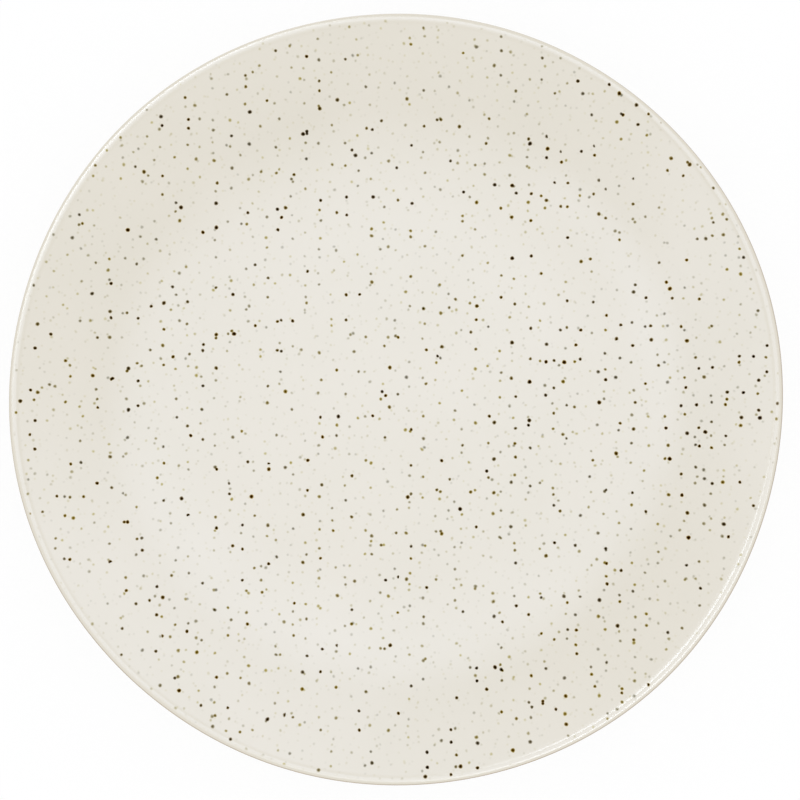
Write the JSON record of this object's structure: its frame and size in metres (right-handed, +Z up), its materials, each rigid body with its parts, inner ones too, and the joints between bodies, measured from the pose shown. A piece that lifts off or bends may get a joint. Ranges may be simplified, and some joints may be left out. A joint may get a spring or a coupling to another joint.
{
  "type": "side plate",
  "caption": "Round coupe side plate in speckled off-white glazed stoneware: flat well, sweeping wall, rounded lip and a bare foot ring, for serving small portions.",
  "frame": {"origin": "centre of the foot ring's standing face, on the plate's axis", "axes": "+Z up along the plate's axis, out of the well; X and Y are any two directions across the round plate"},
  "size_m": [0.2, 0.2, 0.022],
  "materials": {
    "fired_stoneware": "bare fired stoneware clay, matt and slightly gritty",
    "speckled_glaze": "glossy off-white glaze with dark iron specks"
  },
  "bodies": {
    "root": {"stoneware_body": "fired_stoneware", "glaze_coat": "speckled_glaze", "foot_recess_glaze": "speckled_glaze"}
  },
  "joints": []
}
